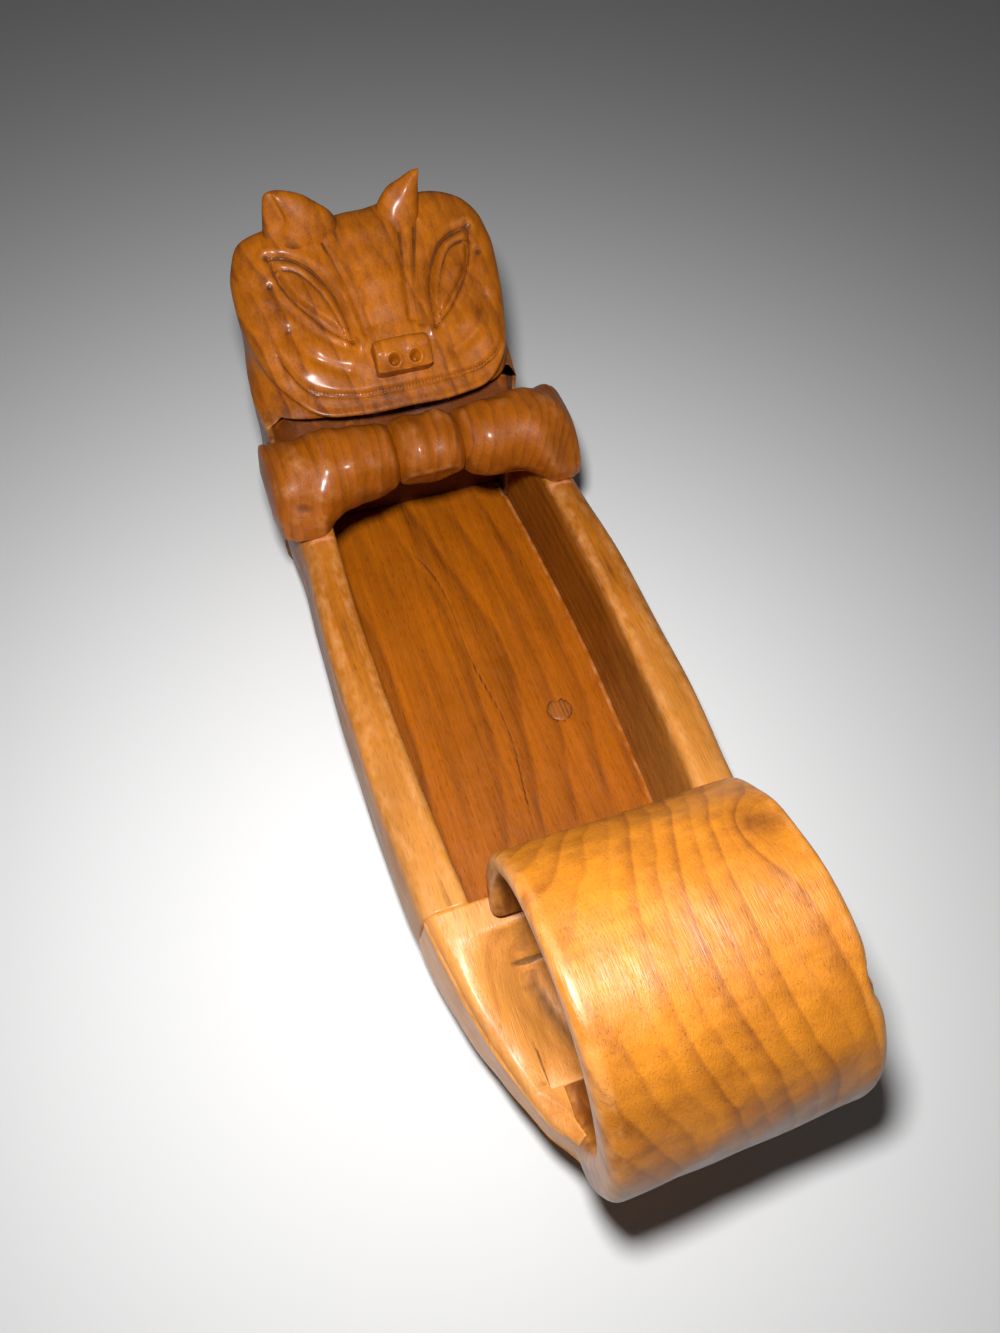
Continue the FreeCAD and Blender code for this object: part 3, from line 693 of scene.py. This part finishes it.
def wood_group():
    """Growth rings as distance from a leaning, bowed pith line, warped by noise and by a knot; fibres and pores
    drawn out along the board; painted shade in the hollows and paler wear on the ridges, from the stored hollow
    value; painted shade darkening the wood below a set height, painted light making it paler towards the prow,
    and a line of glue beside a seam."""
    tree = bpy.data.node_groups.new("carved_wood_grain", "ShaderNodeTree")
    for kind, values in (("NodeSocketColor", WOOD_COLOURS), ("NodeSocketFloat", WOOD_VALUES)):
        for name, value in values.items():
            tree.interface.new_socket(name=name, in_out="INPUT", socket_type=kind).default_value = value
    tree.interface.new_socket(name="Colour", in_out="OUTPUT", socket_type="NodeSocketColor")
    tree.interface.new_socket(name="Roughness", in_out="OUTPUT", socket_type="NodeSocketFloat")
    tree.interface.new_socket(name="Height", in_out="OUTPUT", socket_type="NodeSocketFloat")
    inp = put(tree, "NodeGroupInput").outputs
    out = put(tree, "NodeGroupOutput")
    coord = put(tree, "ShaderNodeTexCoord").outputs["Object"]
    mm = put(tree, "ShaderNodeVectorMath", [(0, coord)], operation="SCALE")
    mm.inputs["Scale"].default_value = 1000.0
    mm = mm.outputs[0]
    x, y, z = put(tree, "ShaderNodeSeparateXYZ", [(0, mm)]).outputs
    swirl = noise(tree, mm, (26, 90, 26), 2.0, 0.5).outputs["Color"]
    warp = put(tree, "ShaderNodeSeparateXYZ", [(0, swirl)]).outputs
    # a knot pulls the rings round itself
    kx = maths(tree, "SUBTRACT", x, inp["Knot X"])
    ky = maths(tree, "SUBTRACT", y, inp["Knot Y"])
    knot = add(tree, times(tree, kx, times(tree, kx, 0.012)), times(tree, ky, times(tree, ky, 0.012)))
    knot = maths(tree, "DIVIDE", 1.0, add(tree, knot, 1.0))
    bow = times(tree, times(tree, times(tree, y, y), 0.001), inp["Bow X"])
    dx = add(tree, x, centred(tree, warp[0], inp["Waviness"]), times(tree, y, inp["Lean X"]), bow,
             times(tree, knot, 14.0))
    dx = maths(tree, "SUBTRACT", dx, inp["Pith X"])
    dz = add(tree, z, centred(tree, warp[1], inp["Waviness"]))
    dz = maths(tree, "SUBTRACT", dz, inp["Pith Z"])
    radius = maths(tree, "SQRT", add(tree, times(tree, dx, dx), times(tree, dz, dz)))
    vary = noise(tree, mm, (9, 60, 9), 1.0).outputs["Fac"]
    turns = add(tree, maths(tree, "DIVIDE", radius, inp["Ring"]), times(tree, vary, 0.35))
    phase = maths(tree, "FRACT", turns)
    year = put(tree, "ShaderNodeTexWhiteNoise", noise_dimensions="1D")
    tree.links.new(maths(tree, "FLOOR", turns), year.inputs["W"])
    year = year.outputs["Value"]
    rise = maths(tree, "POWER", phase, 1.8)
    drop = times(tree, maths(tree, "MAXIMUM", maths(tree, "SUBTRACT", phase, 0.86), 0.0), 7.0)
    band = times(tree, rise, maths(tree, "SUBTRACT", 1.0, drop, clamp=True))
    band = times(tree, band, add(tree, 0.35, times(tree, year, 0.9)))
    fibre = noise(tree, mm, (0.5, 15, 0.5), 3.0, 0.65).outputs["Fac"]
    streak = noise(tree, mm, (2.6, 120, 2.6), 3.0, 0.6).outputs["Fac"]
    pore = noise(tree, mm, (0.24, 4.2, 0.24), 1.0).outputs["Fac"]
    pore = times(tree, maths(tree, "SUBTRACT", pore, 0.63), 8.0, True)
    mottle = noise(tree, mm, (17, 34, 17), 3.0, 0.55).outputs["Fac"]
    curl = centred(tree, noise(tree, mm, (9, 3.6, 5), 2.0, 0.55).outputs["Fac"], inp["Curl"])
    tone = add(tree, 0.66, centred(tree, mottle, inp["Mottle"]), centred(tree, streak, inp["Streaks"]),
               centred(tree, fibre, 0.42), curl)
    tone = maths(tree, "SUBTRACT", tone, times(tree, band, inp["Ring strength"]))
    tone = maths(tree, "SUBTRACT", tone, times(tree, pore, 0.22))
    # painted shade: the wood is darkened below a set height, for the shade on the lower walls, the roll's
    # underside and the neck
    low_shade = maths(tree, "SUBTRACT", inp["Shade top"], add(tree, z, centred(tree, mottle, 6.0)))
    low_shade = maths(tree, "DIVIDE", low_shade, inp["Shade edge"], clamp=True)
    tone = maths(tree, "SUBTRACT", tone, times(tree, low_shade, inp["Shade"]))
    tone = maths(tree, "SUBTRACT", tone, times(tree, maths(tree, "POWER", knot, 3.0), 0.55), clamp=True)
    colour = blend_colour(tree, tone, inp["Dark"], inp["Light"])
    # painted light: the wood is made paler towards the prow, where the light falls strongest
    front = maths(tree, "SUBTRACT", add(tree, 10.0, centred(tree, mottle, 60.0)), y)
    front = times(tree, front, 1 / 95.0, True)
    colour = blend_colour(tree, times(tree, front, inp["Fade"]), colour, FRONT_LIGHT_COLOUR)
    # painted shade: hollows are mixed towards near black for the shade in grooves and creases; ridges get paler
    # wear
    hollow = put(tree, "ShaderNodeAttribute", attribute_name="hollow").outputs["Fac"]
    patchiness = noise(tree, mm, (3, 5, 3), 2.0).outputs["Fac"]
    hollow_shade = times(tree, maths(tree, "SUBTRACT", hollow, 0.05), 9.0, True)
    hollow_shade = times(tree, hollow_shade, add(tree, 0.4, patchiness), True)
    colour = blend_colour(tree, times(tree, hollow_shade, 0.72), colour, HOLLOW_SHADE_COLOUR)
    rub = times(tree, maths(tree, "SUBTRACT", times(tree, hollow, -1.0), 0.10), 5.0, True)
    rub = times(tree, rub, maths(tree, "SUBTRACT", times(tree, patchiness, 2.2), 0.75), True)
    worn = blend_colour(tree, 0.45, inp["Light"], WORN_COLOUR)
    colour = blend_colour(tree, times(tree, rub, 0.5), colour, worn)
    # a line of pale glue where another piece stands on this one
    off = maths(tree, "ABSOLUTE", maths(tree, "SUBTRACT", y, inp["Seam Y"]))
    glue = maths(tree, "SUBTRACT", add(tree, 0.2, times(tree, patchiness, 2.0)), off, clamp=True)
    glue = times(tree, glue, maths(tree, "SUBTRACT", z, 48.4, clamp=True), True)
    colour = blend_colour(tree, times(tree, glue, 0.7), colour, GLUE_COLOUR)
    gloss = noise(tree, mm, (5, 8, 5), 3.0, 0.6).outputs["Fac"]
    rough = add(tree, 0.30, times(tree, gloss, 0.34), times(tree, hollow_shade, 0.25))
    knife = noise(tree, mm, (6, 9, 6), 1.0).outputs["Fac"]
    height = add(tree, times(tree, fibre, 0.30), times(tree, knife, 0.9))
    height = maths(tree, "SUBTRACT", height, times(tree, pore, 0.16))
    tree.links.new(colour, out.inputs["Colour"])
    tree.links.new(rough, out.inputs["Roughness"])
    tree.links.new(height, out.inputs["Height"])
    return tree


def wood(name, light, dark, coat=0.35, coat_rough=0.2, gleam=0.22, bump_depth=0.0009, **settings):
    """A varnished wood: the grain group under a thin clear coat."""
    material = bpy.data.materials.new(name)
    material.use_nodes = True
    tree = material.node_tree
    tree.nodes.clear()
    group = bpy.data.node_groups.get("carved_wood_grain") or wood_group()
    grain = tree.nodes.new("ShaderNodeGroup")
    grain.node_tree = group
    grain.inputs["Light"].default_value = tuple(light) + (1.0,)
    grain.inputs["Dark"].default_value = tuple(dark) + (1.0,)
    for key, value in settings.items():
        grain.inputs[key.replace("_", " ")].default_value = value
    lift = put(tree, "ShaderNodeBump", [("Height", grain.outputs["Height"])])
    lift.inputs["Strength"].default_value = 0.7
    lift.inputs["Distance"].default_value = bump_depth
    shader = put(tree, "ShaderNodeBsdfPrincipled", [("Base Color", grain.outputs["Colour"]),
                                                    ("Roughness", grain.outputs["Roughness"]),
                                                    ("Normal", lift.outputs[0])])
    shader.inputs["IOR"].default_value = 1.46
    shader.inputs["Coat Weight"].default_value = coat
    shader.inputs["Coat Roughness"].default_value = coat_rough
    shader.inputs["Specular IOR Level"].default_value = gleam
    put(tree, "ShaderNodeOutputMaterial", [("Surface", shader.outputs[0])])
    material.diffuse_color = tuple(light) + (1.0,)
    return material


def finish(name):
    """The named wood, made on first use from the colours in the panel."""
    known = bpy.data.materials.get(name)
    if known:
        return known
    f = bpy.context.scene.dish_finish
    recipes = {
        "rail_varnished": dict(
            light=f.rail_colour, dark=(0.14, 0.036, 0.002), Ring=5.5, Ring_strength=0.35, Pith_X=8.0,
            # the darkening below the rim is painted shade on the walls
            Pith_Z=-90.0, Waviness=7.0, Mottle=0.7, Streaks=0.9, Shade=0.42, Shade_top=45.0, Seam_Y=58.2,
            # the paling towards the prow is painted light
            Fade=0.34, coat=0.12),
        # the prow's paler colour is painted light
        "prow_varnished": dict(
            light=f.prow_lit_colour, dark=(0.30, 0.085, 0.010), Ring=6.5, Ring_strength=0.30, Pith_X=8.0,
            Pith_Z=-90.0, Waviness=9.0, Mottle=0.8, Streaks=0.7, coat=0.3, coat_rough=0.3, gleam=0.5),
        "floor_varnished": dict(
            light=f.floor_colour, dark=(0.100, 0.022, 0.001), Ring=13.0, Ring_strength=0.40, Pith_X=-75.0,
            Pith_Z=-20.0, Lean_X=-0.06, Bow_X=1.6, Waviness=12.0, Mottle=0.5, Streaks=0.8, coat=0.06),
        "scroll_varnished": dict(
            light=f.scroll_colour, dark=(0.17, 0.044, 0.003), Ring=5.6, Ring_strength=0.42, Pith_X=-58.0,
            Pith_Z=60.0, Lean_X=-0.10, Waviness=10.0, Mottle=0.8, Streaks=0.15, Curl=0.5, Knot_X=27.0,
            # the darkening of the roll's lower part is painted shade
            Knot_Y=-104.0, Shade=0.85, Shade_top=80.0, Shade_edge=52.0, coat=0.45, coat_rough=0.34, gleam=0.5),
        "body_varnished": dict(
            light=f.body_colour, dark=(0.120, 0.028, 0.003), Ring=6.0, Ring_strength=0.42, Pith_X=-130.0,
            # the darkening of the neck and body below the head is painted shade
            Pith_Z=70.0, Lean_X=0.10, Waviness=16.0, Mottle=0.9, Streaks=0.9, Shade=0.7, Shade_top=80.0,
            Shade_edge=16.0, coat=0.16),
        "arm_varnished": dict(
            light=f.arm_colour, dark=(0.130, 0.031, 0.002), Ring=3.4, Ring_strength=0.45, Pith_X=66.0,
            Pith_Z=52.0, Waviness=8.0, Mottle=0.7, Streaks=0.6, coat=0.2),
        "plug_varnished": dict(
            light=(0.40, 0.120, 0.014), dark=(0.10, 0.022, 0.004), Ring=1.6, Ring_strength=0.6, Pith_X=19.0,
            Pith_Z=8.0, Waviness=2.0, coat=0.2),
        "dowel_bare": dict(
            light=(0.62, 0.42, 0.22), dark=(0.36, 0.2, 0.09), Ring=2.0, Ring_strength=0.3, coat=0.0),
    }
    return wood(name, **recipes[name])


# ------------------------------------------------------------------ operators
class MakeHull(bpy.types.Operator):
    """Carve the two rails, the bottom board, its plug and the prow"""
    bl_idname = "dish.make_hull"
    bl_label = "Make hull"

    def execute(self, context):
        marks = context.scene.dish_sizes.tool_marks / MM
        skin("rail_right", rail_section_loops(1, marks), "side_right", finish("rail_varnished"))
        skin("rail_left", rail_section_loops(-1, marks), "side_left", finish("rail_varnished"))
        skin("prow_block", prow_loops(marks), "prow", finish("prow_varnished"), 2)
        skin("floor_board", board_loops(), "bottom_board", finish("floor_varnished"))
        skin("plug", plug_loops(), "floor_plug", finish("plug_varnished"), 1)
        return {"FINISHED"}


class MakeScroll(bpy.types.Operator):
    """Carve the rolled finger loop"""
    bl_idname = "dish.make_scroll"
    bl_label = "Make scroll"

    def execute(self, context):
        marks = context.scene.dish_sizes.tool_marks / MM
        skin("scroll_roll", scroll_loops(marks), "scroll", finish("scroll_varnished"))
        return {"FINISHED"}


class MakeBody(bpy.types.Operator):
    """Carve the body with its breast and back"""
    bl_idname = "dish.make_body"
    bl_label = "Make body"

    def execute(self, context):
        marks = context.scene.dish_sizes.tool_marks / MM
        skin("body_block", body_loops(marks), "torso", finish("body_varnished"), 2)
        return {"FINISHED"}


class MakeArms(bpy.types.Operator):
    """Carve the two forearms and the folded paws"""
    bl_idname = "dish.make_arms"
    bl_label = "Make arms"

    def execute(self, context):
        marks = context.scene.dish_sizes.tool_marks / MM
        skin("forearm_right", arm_loops(1, marks), "arm_right", finish("arm_varnished"))
        skin("forearm_left", arm_loops(-1, marks), "arm_left", finish("arm_varnished"))
        skin("folded_paws", paw_loops(marks), "paws", finish("arm_varnished"))
        return {"FINISHED"}


# sections of the ears: middle (x, y, z) and half-sizes
EAR_LEFT_KEYS = [(-25.0, 150.0, 100.0, 13.5, 7.0), (-24.5, 150.5, 108.0, 14.0, 7.0),
                 (-25.5, 151.0, 114.0, 12.5, 6.0), (-28.0, 151.8, 119.0, 9.0, 4.2),
                 (-30.4, 152.3, 122.3, 5.4, 2.2), (-32.5, 152.5, 123.4, 0.8, 0.6)]
EAR_RIGHT_KEYS = [(11.5, 149.0, 100.0, 8.4, 6.5), (11.2, 149.8, 108.0, 8.6, 6.2),
                  (11.8, 151.0, 114.0, 7.8, 5.2), (14.4, 151.8, 119.0, 5.6, 3.6),
                  (18.0, 152.3, 122.6, 2.5, 1.6), (20.0, 152.5, 123.9, 0.6, 0.4)]


class MakeHead(bpy.types.Operator):
    """Carve the head, snout and ears, and finish the hidden dowels"""
    bl_idname = "dish.make_head"
    bl_label = "Make head"

    def execute(self, context):
        marks = context.scene.dish_sizes.tool_marks / MM
        wood_used = finish("body_varnished")
        skin("head_block", head_loops(marks), "head", wood_used, 2)
        skin("snout_block", snout_loops(marks), "snout", wood_used, 2)
        skin("ear_cupped", ear_loops(EAR_LEFT_KEYS, 0.5, marks), "ear_left", wood_used, 2)
        skin("ear_horn", ear_loops(EAR_RIGHT_KEYS, 0.15, marks), "ear_right", wood_used, 2)
        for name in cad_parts:
            if name.endswith(("dowels", "pegs", "peg")):
                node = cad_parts[name]
                for slot_item in node.material_slots:
                    slot_item.material = finish("dowel_bare")
        return {"FINISHED"}


CAMERA_PLACE = (-0.06818, -0.15623, 0.30498)
CAMERA_TURN = (-24.16, 58.29, 5.18)
CAMERA_LENS = 24.155
KEY_LEFT, KEY_UP = 0.014, 0.050           # place of the key lamp beside the camera, metres
KEY_SIZE, KEY_POWER = 0.036, 1.85
KEY_TARGET = (0.0, 0.03, 0.03)
FILL_SIZE = 0.8
FILL_TARGET = (0.0, 0.0, 0.04)
FILLS = {"fill_front": ((-0.5, -0.9, 1.0), 0.12), "fill_back": ((0.5, 1.1, 0.8), 0.25),
         "fill_side": ((1.2, -0.1, 0.7), 0.12)}
WORLD_LIGHT = 0.03
FLOOR_HALF, FLOOR_UNDER, FLOOR_GREY = 4.0, -0.0003, 0.66


def camera_axes():
    """Right, up and back directions of a camera aimed by azimuth, elevation and roll in degrees."""
    a, e, r = (math.radians(v) for v in CAMERA_TURN)
    back = Vector((math.sin(a) * math.cos(e), -math.cos(a) * math.cos(e), math.sin(e)))
    right = Vector((math.cos(a), math.sin(a), 0.0))
    up = back.cross(right)
    return right * math.cos(r) + up * math.sin(r), up * math.cos(r) - right * math.sin(r), back


class MakeStage(bpy.types.Operator):
    """Set the pale floor, the lights and the camera"""
    bl_idname = "dish.make_stage"
    bl_label = "Make stage"

    def execute(self, context):
        scene = context.scene
        right, up, back = camera_axes()
        data = bpy.data.cameras.new("view_camera")
        data.lens = CAMERA_LENS
        data.sensor_width = 36.0
        data.sensor_fit = "AUTO"
        data.clip_start = 0.01
        camera = bpy.data.objects.new("view_camera", data)
        scene.collection.objects.link(camera)
        turn = Matrix((right, up, back)).transposed().to_4x4()
        camera.matrix_world = Matrix.Translation(CAMERA_PLACE) @ turn
        scene.camera = camera
        scene.view_settings.view_transform = "Standard"
        key_place = Vector(CAMERA_PLACE) - right * KEY_LEFT + up * KEY_UP
        self.lamp(scene, "key_lamp", key_place, Vector(KEY_TARGET), KEY_SIZE, KEY_POWER)
        for name, (place, power) in FILLS.items():
            self.lamp(scene, name, Vector(place), Vector(FILL_TARGET), FILL_SIZE, power)
        world = bpy.data.worlds.new("studio")
        scene.world = world
        world.use_nodes = True
        sky = world.node_tree.nodes["Background"]
        sky.inputs["Color"].default_value = (1.0, 1.0, 1.0, 1.0)
        sky.inputs["Strength"].default_value = WORLD_LIGHT
        mesh = bpy.data.meshes.new("studio_floor")
        corners = [(x * FLOOR_HALF, y * FLOOR_HALF, FLOOR_UNDER) for x, y in ((-1, -1), (1, -1), (1, 1), (-1, 1))]
        mesh.from_pydata(corners, [], [(0, 1, 2, 3)])
        floor = bpy.data.objects.new("studio_floor", mesh)
        scene.collection.objects.link(floor)
        pale = bpy.data.materials.new("pale_floor")
        pale.use_nodes = True
        shader = pale.node_tree.nodes["Principled BSDF"]
        shader.inputs["Base Color"].default_value = (FLOOR_GREY, FLOOR_GREY, FLOOR_GREY, 1)
        shader.inputs["Roughness"].default_value = 0.9
        floor.data.materials.append(pale)
        return {"FINISHED"}

    def lamp(self, scene, name, place, target, size, power):
        """A round area lamp aimed at a point."""
        data = bpy.data.lights.new(name, "AREA")
        data.shape = "DISK"
        data.size = size
        data.energy = power
        lamp = bpy.data.objects.new(name, data)
        lamp.location = place
        lamp.rotation_euler = (target - place).to_track_quat("-Z", "Y").to_euler()
        scene.collection.objects.link(lamp)


class DISH_PT_panel(bpy.types.Panel):
    bl_label = "Carved scoop dish"
    bl_idname = "DISH_PT_panel"
    bl_space_type = "VIEW_3D"
    bl_region_type = "UI"
    bl_category = "Scoop dish"

    def draw(self, context):
        layout = self.layout
        for group in (context.scene.dish_sizes, context.scene.dish_finish):
            for key in group.bl_rna.properties.keys():
                if key not in ("rna_type", "name"):
                    layout.prop(group, key)
        for operator in OPERATORS:
            layout.operator(operator.bl_idname)


OPERATORS = (MakeHull, MakeScroll, MakeBody, MakeArms, MakeHead, MakeStage)
CLASSES = (DishSizes, DishFinish) + OPERATORS + (DISH_PT_panel,)


def register():
    for item in CLASSES:
        bpy.utils.register_class(item)
    bpy.types.Scene.dish_sizes = bpy.props.PointerProperty(type=DishSizes)
    bpy.types.Scene.dish_finish = bpy.props.PointerProperty(type=DishFinish)


def unregister():
    del bpy.types.Scene.dish_finish
    del bpy.types.Scene.dish_sizes
    for item in reversed(CLASSES):
        bpy.utils.unregister_class(item)


def main():
    register()
    bpy.ops.dish.make_hull()
    bpy.ops.dish.make_scroll()
    bpy.ops.dish.make_body()
    bpy.ops.dish.make_arms()
    bpy.ops.dish.make_head()
    bpy.ops.dish.make_stage()
    bpy.context.view_layer.update()


if __name__ == "__main__":
    main()
